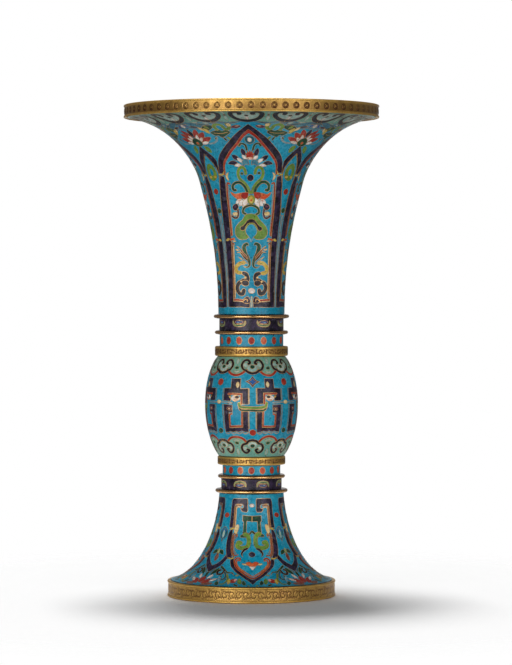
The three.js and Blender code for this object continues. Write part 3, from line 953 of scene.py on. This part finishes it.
def neck_cloud():
    """The green cloud head with its dark arch, and the scrolls under it."""
    return [
        patch("lime", both([(0, 57), (7, 56.4), (11, 54), (17, 51.6), (22.4, 48.8), (23.6, 45.2),
            (18.4, 42.7), (11, 42.3), (5.4, 42.9), (2, 44.6), (0, 45.6)])),
        patch("turquoise", both([(0, 51.4), (5, 50.2), (8, 47.6), (7, 45.4), (3.6, 43.9), (1.6, 42.2),
            (0, 41)])),
        patch("ink", both([(0, 54.1), (4.4, 53.6), (8.2, 51.6), (11.6, 50.1), (14.8, 49.4), (15.2, 47.9),
            (12.2, 47.2), (9.4, 47.8), (7.6, 49.8), (4.2, 51.6), (0, 52)])),
        band("green", 2.3, [(4, 38.9), (7, 39.8), (11.2, 38.4), (9.8, 34.8), (5.4, 31.5), (3.2, 29),
            (3.8, 27.1), (8, 26.4), (13, 27.2)], "drop"),
        band("rust", 1.2, [(5.2, 31.6), (12, 34.2), (18.4, 37.4), (22.6, 38.6)], "drop"),
        band("cream", 0.9, [(18.8, 36.2), (24.8, 36.8)], "leaf"),
        band("ink", 1.1, [(5.4, 30.2), (11.4, 32.4), (17, 35), (22.4, 35)], "drop"),
        band("slate", 0.6, [(6.4, 28.4), (13.4, 30.6), (20.4, 32.6)], "drop"),
        band("yellow", 2, [(12.2, 29), (19, 28.8), (25.2, 26.4), (24, 23.8), (18.2, 23.4)]),
        band("lime", 0.8, [(12.6, 28.8), (17.6, 28.9)], "leaf"),
        band("ink", 2.3, [(12.6, 23.1), (8, 22.1), (6.8, 19.4), (13, 18.9), (16.4, 18.1), (22, 17.3),
            (24.8, 14.6), (20.9, 11.9), (15, 11.7), (13.2, 13.4)]),
        disc("ink", 10.4, 17.5, 2.1, 1.7), disc("cream", 9.8, 20.6, 0.5, 0.5),
        disc("cream", 17.2, 18.3, 0.5, 0.4), disc("white", 0, 13.3, 1.9, 1.5),
    ]


def neck_strip():
    """The narrow strip between two tall lappets."""
    return [
        patch("lime", both([(45, 86.8), (40.6, 85.2), (38.5, 81.6), (39.6, 78), (45, 76.2)], WEDGE)),
        patch("turquoise", both([(45, 83.8), (43.2, 83), (42.6, 81.4), (43.2, 79.7), (45, 79.2)], WEDGE)),
        disc("yellow", 41.6, 78.4, 1.1, 0.8), disc("red", 45, 70, 1.7, 1.7),
        disc("green", 45, 59, 1.4, 1.5),
    ]


def neck_shapes():
    return (neck_rim() + neck_lotus() + neck_bands() + neck_flower_top() + neck_flower_low() + neck_cloud()
            + neck_strip())


def bulb_borders():
    """Cloud heads and red arcs above and below the middle section's fret."""
    heads = ([(0, 49.3), (5.4, 49.8), (9, 50.9), (13, 51.7), (15.4, 54.3), (12, 56.9), (6.6, 57.2),
              (3.6, 55.6), (5.6, 54.9)],
             [(0, 10.9), (5.4, 10.4), (9, 8.9), (13.4, 8.2), (15.8, 6), (13.2, 3.5), (8.2, 2.8),
              (4.8, 4.6), (7.4, 5.2)])
    top = [(-3, 61), (-3, 49.6), (3, 49.6), (9.8, 51), (16, 48.9), (MIDDLE, 48.1)]
    low = [(-3, -2), (-3, 11), (3, 11), (8.8, 9.8), (14, 11.8), (MIDDLE, 12.6)]
    shapes = [plate("celadon", both(top, MIDDLE)), plate("celadon", both(low, MIDDLE)),
              band("red", 1.3, both([(8.6, 51.3), (15, 48.8), (MIDDLE, 47.9)], MIDDLE)),
              band("red", 1.3, both([(8.6, 9.8), (14, 11.9), (MIDDLE, 12.8)], MIDDLE))]
    for centre in (0, WEDGE):
        shapes += [disc("mist", centre, 52.4, 3, 2.2), disc("mist", centre, 7.9, 2.7, 1.9)]
        for side in (-1, 1):
            shapes += [disc("mist", centre + side * 10, 54.2, 1.9, 1.3),
                       disc("mist", centre + side * 11.2, 5.7, 1.7, 1.2)]
        shapes += [band("ink", 1.4, moved(head, centre, 0, side)) for head in heads for side in (-1, 1)]
        shapes += [disc("green", centre, 53.1, 1.3, 1.1), disc("green", centre, 7.4, 1.3, 1.1)]
    return shapes + [
        disc("green", MIDDLE, 52.3, 1.2, 0.9), disc("green", MIDDLE, 8.9, 1.2, 0.9),
        leaf("mist", MIDDLE, 54.6, MIDDLE, 58.4, 1.6), leaf("mist", MIDDLE, 1.2, MIDDLE, 5.6, 1.6),
        leaf("mist", 18, 50.4, 27, 50.4, 1, -0.6), leaf("mist", 17, 10.2, 28, 10.2, 0.9, 0.6),
    ]


def bulb_fret():
    """The dark angular fret of a stylised mask, with its handle bar, eye and red outlines."""
    lower = [(5.4, 27.4), (12.4, 27.4), (12.4, 18.2), (30.4, 18.2), (30.4, 26.8), (25.4, 26.8),
        (25.4, 31.2), (37.4, 31.2), (37.4, 15.6), (33, 15.6), (29.6, 16.2), (26, 15.6), (22, 16.2),
        (18, 15.6), (14, 16.2), (10, 15.6), (5.4, 15.6)]
    upper = [(5.4, 40.5), (15.6, 40.5), (15.6, 46), (28.2, 46), (28.2, 40.5), (37.6, 40.5), (37.6, 33.4),
        (27.6, 33.4), (27.6, 37.2), (13.4, 37.2), (13.4, 31.6), (5.4, 31.6)]
    return [
        plate("deep", lower), plate("deep", upper),
        bar("red", 1, [(31, 37.3), (14.2, 37.3), (14.2, 31.8)]),
        leaf("white", 15.4, 35.1, 27.6, 34.9, 3.3), leaf("pink", 17.6, 33.9, 24.4, 34.1, 0.9),
        disc("deep", 19.6, 35.6, 1.3, 0.9),
        band("yellow", 0.8, [(27.4, 35.2), (30.2, 36.2)], "leaf"),
        leaf("cream", 19.4, 44.2, 19.6, 40.8, 2),
        bar("pale", 0.55, [(26, 32.4), (40, 32.4)]),
        bar("red", 0.9, [(13.2, 27.2), (13.2, 18.9), (29.4, 18.9), (29.4, 25.6), (26.4, 26)]),
        band("pale", 0.4, [(6, 15.2), (9.6, 14.5), (13.4, 15.3), (17.4, 14.6), (21.4, 15.3), (25.4, 14.6),
            (29.4, 15.3), (33.4, 14.5), (37, 15.1)]),
        disc("plum", 29.6, 28.9, 1.5, 1), disc("pink", 29.6, 28.9, 0.6, 0.4),
        band("green", 1.2, both([(-16.6, 30), (-14.6, 28.4), (-8, 28)])),
        band("lime", 1.5, both([(-17, 32), (-15.6, 30.2), (-8, 29.6)])),
    ]


def bulb_stripes():
    """The plain upright stripes between the frets, with their dots and diamond."""
    shapes = [plate("deep", both([(0, 47.6), (3.4, 45.5), (8.8, 44.3), (3.4, 43), (0, 41)])),
              plate("blue", both([(0, 46.4), (2.6, 45), (6.2, 44.3), (2.6, 43.5), (0, 42.2)]))]
    for a, low, high in ((4.4, 17.6, 27), (4.4, 31.8, 40.4), (39.2, 17.6, 31), (39.2, 33.6, 40.4)):
        shapes.append(bar("cream", 0.25, [(a, low), (a, high)]))
    return shapes + [
        disc("red", 0, 15.4, 1.9, 1.7), disc("red", 45, 44.2, 2, 1.9), disc("cream", 45, 32.5, 1.6, 1.1),
        disc("green", 45, 16.4, 1.6, 1.4),
    ]


def bulb_shapes():
    return bulb_borders() + bulb_fret() + bulb_stripes()


def foot_bands():
    """The dark bands of the hanging lappets, with the line within them, and the small lappets between."""
    arm = [(45, 13.2), (40, 15.4), (34.6, 18.2), (28.8, 23), (31.2, 25.6), (36.4, 21.4), (40.8, 19.2),
        (45, 17.6)]
    bracket = [(8.4, 50.2), (6.9, 51.2), (7, 57.2), (8.6, 57.9), (33.8, 57.8), (35.8, 57), (36.6, 55.4),
        (36.4, 41.2), (30.4, 41.2), (30.4, 53.4), (29.4, 54.5), (16.8, 54.8), (14.4, 54.2), (13.9, 52.9),
        (15.6, 52.4), (18.4, 52.6), (18.8, 51.4), (16.2, 50.3)]
    lobe = [(30.4, 40.4), (34.8, 38.6), (35.9, 35.4), (35.5, 31.6), (33.7, 27.6), (30.8, 24.2),
        (27.6, 22.4), (23.8, 23.6), (26.4, 27), (28.2, 31.6), (29.2, 36)]
    tip = [(0, 3.2), (2.6, 6.6), (9, 10.4), (16.2, 14), (22.4, 17.8), (24.8, 21.6), (21.6, 22.9),
        (19.6, 20.4), (16.8, 17), (9.8, 12.9), (3, 9.4), (0, 8)]
    return [
        plate("deep", both(arm, WEDGE)), plate("deep", bracket), patch("deep", lobe),
        plate("deep", fold(tip)),
        band("rust", 0.8, [(18.2, 53.9), (24, 54), (27.6, 53.6), (28.9, 52), (28.8, 46), (28.8, 41.4)]),
        band("cream", 0.35, [(19.6, 52.9), (24, 53), (26.4, 52.4), (27, 50.8), (26.9, 46), (26.8, 42)]),
        band("rust", 0.75, [(21.4, 37.2), (25, 38.2), (27.6, 37), (28.2, 34.6), (27.4, 31), (25.5, 27),
            (21.6, 23.8)]),
        band("red", 0.6, [(21.4, 36.2), (24.4, 36.9), (26.4, 35.6), (26.6, 33.6), (25.9, 30.6), (24, 27.2),
            (20.5, 24.8), (17.2, 25.2)]),
        band("cream", 0.3, [(22.4, 35.4), (24.4, 35.2), (24.9, 33), (24.1, 30.4), (22.2, 27.6),
            (19.4, 25.9)]),
        band("red", 0.9, [(13.4, 22.6), (16.8, 23.2), (19.4, 21.4), (18, 18.6), (14.6, 16), (8.8, 13.2),
            (3.6, 10.4), (0, 9.1)]),
        band("orange", 0.7, [(13.2, 21.5), (16.2, 21.7), (17.2, 20.3), (15.6, 18.2), (12.6, 16.2),
            (7.8, 14.1), (3, 11.9), (0, 10.6)]),
        band("yellow", 1, [(24.4, 40.9), (29.6, 40.6), (36.4, 40)], "leaf"),
        patch("cream", [(20.6, 42.4), (24.4, 42.9), (27.2, 41), (26.8, 38.6), (23.4, 37.6), (21.4, 39.4)]),
        band("yellow", 0.8, [(20.2, 23.5), (24.6, 22.7), (29.2, 23.4)], "leaf"),
    ]


def foot_fret():
    """The green fret and scrolls inside a hanging lappet."""
    return [
        disc("white", 0, 54, 1.3, 0.9),
        plate("green", both([(0, 48.2), (15.2, 48.2), (15.2, 45), (13.4, 44.6), (13.4, 37.8), (17, 36.9),
            (16.4, 35.8), (8.4, 35.8), (8.4, 45), (0, 45)])[:-1]),
        band("green", 1, [(0.8, 38.9), (4.2, 37.6), (8.2, 38.2)]),
        bar("pale", 0.3, [(0, 44.8), (0, 48)]),
        band("lime", 2.3, [(10.4, 37.6), (6, 36.6), (4.4, 33.2), (6.6, 30.2), (13, 29.4), (19, 30.4),
            (18.8, 32.6), (15.4, 32.4)]),
        band("ink", 1.4, [(5, 29.3), (9.8, 28.2), (12.6, 26), (10.8, 23.9)], "drop"),
        disc("deep", 0, 25.3, 1.8, 1.6),
        patch("orange", both([(0, 20), (3.4, 20.8), (7, 20), (4.8, 18.4), (0, 17.6)])),
        leaf("cream", 5.4, 18.8, 11, 19.4, 1.1),
        patch("white", both([(0, 15.6), (2.4, 17), (3.4, 17.9), (0, 17.8)])),
    ]


def foot_flowers():
    """The small lappet's motifs and the flowers along the foot's edge."""
    return [
        disc("red", 45, 48.2, 1.8, 1.3),
        patch("slate", both([(45, 41.8), (41.4, 41.2), (38.2, 39.4), (37.4, 37), (40, 35), (42.6, 34.4),
            (45, 32.6)], WEDGE)),
        blend(leaf("teal", 38.6, 39.6, 42.4, 36.4, 1.4)), blend(leaf("blue", 41, 40.4, 43.4, 38.4, 0.9)),
        blend(leaf("mist", 45, 40, 45, 34.6, 1.6)), leaf("green", 44.4, 26.8, 36.6, 25.2, 2.2, 0.8),
        leaf("sage", 45, 23.6, 45, 28.8, 1.8), leaf("rust", 45, 20.6, 45, 26, 2.6),
        leaf("red", 44.6, 3.6, 44, 9.4, 3.4), leaf("red", 42.8, 2.8, 35.2, 7.6, 4),
        leaf("rust", 41.6, 1.2, 31.4, 3.4, 3.2), leaf("white", 41.4, 7.8, 37.4, 11.4, 2.1),
        leaf("white", 37.4, 5.4, 31.2, 8.2, 2), leaf("green", 45, 9, 45, 13.4, 2),
        leaf("green", 40.8, 11.2, 34.2, 16.4, 2.4), leaf("slate", 43.6, 12.4, 38.6, 15.8, 1.6),
        band("green", 1.4, [(32.8, 17.4), (28.6, 15.6), (24, 13.4), (19.6, 13.4), (17, 11.6)], "tail"),
        band("ink", 1.3, [(27.8, 15.2), (29.6, 12.2), (33.4, 11.8), (34.6, 14), (32.2, 15)]),
        band("teal", 1.2, [(27, 13.8), (24.4, 10.4), (25.8, 7.6), (29.2, 8), (29, 10.2)]),
        leaf("pale", 30.6, 10.2, 27.8, 5.2, 1.6),
        band("lime", 1, [(23.6, 11.8), (21.4, 7.8), (22.6, 3.6), (25.6, 3)]),
        leaf("green", 30.4, 5.8, 26.6, 1.4, 2.2), disc("red", 16, 6.6, 1.9, 2),
        blend(disc("pink", 14.2, 7.6, 0.9, 1.1)), leaf("yellow", 20.2, 8.8, 18.4, 3, 1.9),
        leaf("lime", 11.6, 9.2, 9.4, 3.2, 2.4), leaf("green", 7.6, 7.2, 5.8, 2, 2),
        leaf("green", 14.4, 3.4, 10.8, 1, 1.7), leaf("sage", 12.4, 11.8, 15.8, 11.2, 1.1),
        leaf("lime", 3.4, 2.6, 2.6, 0.8, 1.2),
    ]


def foot_shapes():
    return foot_bands() + foot_fret() + foot_flowers()


def mouth_lotus(centre, petals, heart):
    """A lotus with its leaves and the bud above it."""
    shapes = []
    for reach, rise, width in ((0, 14.4, 5), (4.2, 15.6, 4.6), (7.6, 18.4, 4.2), (10, 22.2, 3.6)):
        shapes += [leaf(petals, centre, 22.4, centre + side * reach, rise, width) for side in (-1, 1)]
    for side in (-1, 1):
        shapes += [blend(leaf("pink", centre + side * 1.2, 22, centre + side * 3, 18.2, 1.6)),
                   leaf("green", centre + side * 4.6, 24.4, centre + side * 10.4, 27.2, 3),
                   leaf("lime", centre + side * 2.6, 28.6, centre + side * 7.8, 33.6, 2.4)]
    return shapes + [disc("lime", centre, 23.2, 2.6, 2.4), blend(disc(heart, centre, 23, 1.3, 1.2)),
                     leaf("deep", centre, 26, centre, 36.6, 3), disc("red", centre, 40.4, 1.5, 1.5)]


def mouth_shapes():
    """Lotus scrolls inside the mouth, from its edge down into the neck."""
    arc = [(-3.6, 4.4), (-1.6, 6.2), (1.6, 6.2), (3.6, 4.4)]
    curl = [(-3.3, 17.2), (-5.9, 13.6), (-4.1, 11), (-1.7, 12.2), (-2.5, 14.2)]
    stem = [(13.4, 27.6), (15.2, 22.6), (19.2, 17.2), (MIDDLE, 15.4)]
    shapes = [plate("deep", [(-3, -2), (-3, 7.4), (48, 7.4), (48, -2)])]
    shapes += [band("sage", 0.9, moved(arc, centre)) for centre in (5.625, 16.875, 28.125, 39.375)]
    shapes += mouth_lotus(0, "red", "yellow") + mouth_lotus(WEDGE, "white", "orange")
    shapes.append(band("green", 1.3, both(stem, MIDDLE)))
    shapes += [band("ink", 1.2, moved(curl, MIDDLE, 0, side), "tail") for side in (1, -1)]
    return shapes + [
        disc("yellow", MIDDLE, 21.4, 2.2, 2.4), blend(disc("orange", MIDDLE, 21.2, 1, 1.1)),
        leaf("lime", MIDDLE, 25.2, MIDDLE, 32.4, 3.2),
        leaf("green", 17.4, 25.2, 20, 31.8, 2.2), leaf("green", 27.6, 25.2, 25, 31.8, 2.2),
        band("rust", 1, both([(14.6, 33.4), (18.4, 36.6), (MIDDLE, 37.6)], MIDDLE)),
        disc("orange", MIDDLE, 41, 1.3, 1.3), bar("deep", 1.2, [(-3, 45.4), (48, 45.4)]),
    ]


def dots(rx, ry, s):
    """A row of sixteen ovals, deep red and coral in turn."""
    return [disc(colour, a, s, rx, ry) for a, colour in ((0, "red"), (MIDDLE, "orange"), (WEDGE, "red"))]


def crescents(tips, back):
    """Fluted crescents on the dark collars, with their tips at one height and their backs at another."""
    step = back - tips
    rim = both([(-11.6, tips), (-11.2, tips + 0.5 * step), (-8, tips + 0.9 * step), (0, back)])
    vein = [(a, tips + step * (0.98 - 0.003 * a * a)) for a in (-8.6, -4.4, 0, 4.4, 8.6)]
    return [disc("violet", MIDDLE, tips + 0.2 * step, 2.6, 0.9),
            blend(disc("slate", MIDDLE - 3, tips + 0.1 * step, 0.7, 0.3)),
            blend(disc("pale", MIDDLE + 2, tips + 0.3 * step, 0.9, 0.3)),
            band("sage", 1.35, moved(rim, MIDDLE), "swell"),
            blend(band("green", 0.4, moved(vein, MIDDLE), "leaf")),
            blend(leaf("green", MIDDLE, back - 0.5 * step, MIDDLE, back + 0.1 * step, 0.4))]


# Studio

def camera():
    place, aim = np.array([0.0026, -1.716, 0.1803]), np.array([0.0026, 0, 0.1503])
    look = aim - place
    data = bpy.data.cameras.new("camera")
    data.lens, data.sensor_width = 162.4, 36
    eye = bpy.data.objects.new("camera", data)
    eye.location = place
    eye.rotation_euler = (math.pi / 2 + math.atan2(look[2], look[1]), 0, 0)
    bpy.context.scene.collection.objects.link(eye)
    bpy.context.scene.camera = eye


def area_light(name, place, aim, size, power):
    data = bpy.data.lights.new(name, "AREA")
    data.shape = "RECTANGLE"
    data.size, data.size_y = size
    data.energy = power
    lamp = bpy.data.objects.new(name, data)
    lamp.location = place
    lamp.rotation_euler = (Vector(aim) - Vector(place)).to_track_quat("-Z", "Y").to_euler()
    bpy.context.scene.collection.objects.link(lamp)


def studio():
    """White ahead and grey to the sides, as seen and mirrored; a softer light from above for the rest."""
    scene = bpy.context.scene
    scene.view_settings.view_transform = "Standard"
    scene.world = bpy.data.worlds.new("studio")
    n = Nodes(scene.world)

    def towards(axis, low, high, at_low, at_high):
        """A brightness that changes with how closely a ray runs along an axis."""
        dot = n.maths("ShaderNodeVectorMath", "DOT_PRODUCT", n.coords("Generated"), axis)
        level = n.ramp(dot.outputs["Value"], low, high, at_low, at_high)
        level.node.interpolation_type = "SMOOTHSTEP"
        return level

    path = n.add("ShaderNodeLightPath").outputs
    seen = path["Is Camera Ray"]
    for kind in ("Is Glossy Ray", "Is Transmission Ray"):
        seen = n.maths("ShaderNodeMath", "MAXIMUM", seen, path[kind]).outputs[0]
    mix = n.add("ShaderNodeMix")
    n.put(mix, 0, seen)
    n.put(mix, 2, towards((0, 0, 1), -0.3, 0.8, 0.03, 0.12))
    n.put(mix, 3, towards((0, 1, 0), 0.955, 0.984, WALL_LEVEL, 1))
    n.put(n.tree.nodes["Background"], "Strength", mix.outputs[0])
    n.put(n.tree.nodes["Background"], "Color", (1, 1, 1, 1))
    area_light("key_left", place=(-0.72, -1.36, 0.2), aim=(0, 0, 0.13), size=(1.25, 0.8), power=14.3)
    area_light("key_right", place=(0.86, -1.26, 0.16), aim=(0, 0, 0.13), size=(1.05, 0.8), power=8.4)
    area_light("top", place=(-0.06, 0.3, 1.6), aim=(0, 0, 0), size=(0.4, 0.4), power=23)


def floor():
    """White paper that fades out away from the vase."""
    size, steps = 0.32, 40
    xs = np.linspace(-size, size, steps)
    verts = [(x, y, -0.0002) for y in xs for x in xs]
    faces = [(j * steps + i, j * steps + i + 1, (j + 1) * steps + i + 1, (j + 1) * steps + i)
             for j in range(steps - 1) for i in range(steps - 1)]
    mesh = bpy.data.meshes.new("floor")
    mesh.from_pydata(verts, [], faces)
    piece = bpy.data.objects.new("floor", mesh)
    bpy.context.scene.collection.objects.link(piece)
    n = Nodes(bpy.data.materials.new("floor_paper"))
    n.shader.inputs["Base Color"].default_value = (0.94, 0.94, 0.94, 1)
    n.shader.inputs["Roughness"].default_value = 0.9
    distance = n.maths("ShaderNodeVectorMath", "LENGTH", n.coords())
    clear = n.add("ShaderNodeMixShader", Fac=n.ramp(distance.outputs["Value"], 0.1, 0.3))
    n.put(clear, 1, n.shader.outputs["BSDF"])
    n.put(clear, 2, n.add("ShaderNodeBsdfTransparent").outputs["BSDF"])
    n.put(n.tree.nodes["Material Output"], "Surface", clear.outputs["Shader"])
    mesh.materials.append(n.owner)


camera()
studio()
floor()
foot_band()
lip_band()
foot_copper()
bulb_copper()
vessel_floor()
neck_copper()
mouth_lining()
ring("foot_ring_lower", FOOT_RING_LOWER, FOOT_SEAT, outer=20.7)
ring("foot_ring_upper", FOOT_RING_UPPER, FOOT_SEAT, outer=19.2)
ring("neck_ring_lower", NECK_RING_LOWER, NECK_SEAT, outer=21)
ring("neck_ring_upper", NECK_RING_UPPER, NECK_SEAT, outer=21.6)
seam_band("bulb_band_lower", BULB_BAND_BOTTOM, BULB_BAND_TOP, FOOT_SEAT + SOCKET + GAP, outer=19.4)
seam_band("bulb_band_upper", BULB_TOP, NECK_BAND_TOP, NECK_SEAT + SOCKET + GAP, outer=20.9)

enamelled("neck_cloisonne", profile(NECK_SHAFT, NECK_FLARE), neck_shapes(), turn=(0.2, -2.9), grid=(4.5, 3),
          slot="turquoise_enamel", nodes=["neck_enamel"])
enamelled("mouth_cloisonne", profile(NECK_FLARE).far_face(LINING_DEPTH + LINING), mouth_shapes(),
          slot="turquoise_enamel")
enamelled("bulb_cloisonne", profile(BULB_SWELL), bulb_shapes(), turn=(1.6, 1.6),
          slot="turquoise_enamel", nodes=["bulb_enamel"])
enamelled("foot_cloisonne", profile(FOOT_FLARE), foot_shapes(), turn=(1, 1),
          slot="turquoise_enamel", nodes=["foot_enamel"])
collar("foot", "dot", 16.5, FOOT_RING_UPPER + RING_ROOM, BULB_BAND_BOTTOM - GAP, dots(1.7, 2, 2.75))
collar("neck", "dot", 18.2, NECK_BAND_TOP + GAP, NECK_RING_LOWER - RING_ROOM, dots(1.75, 2.15, 3.3))
collar("foot", "petal", 17.3, FOOT_RING_LOWER + RING_ROOM, FOOT_RING_UPPER - RING_ROOM, crescents(1.9, 4.4))
collar("neck", "petal", 18.4, NECK_RING_LOWER + RING_ROOM, NECK_RING_UPPER - RING_ROOM, crescents(5.3, 2.8))
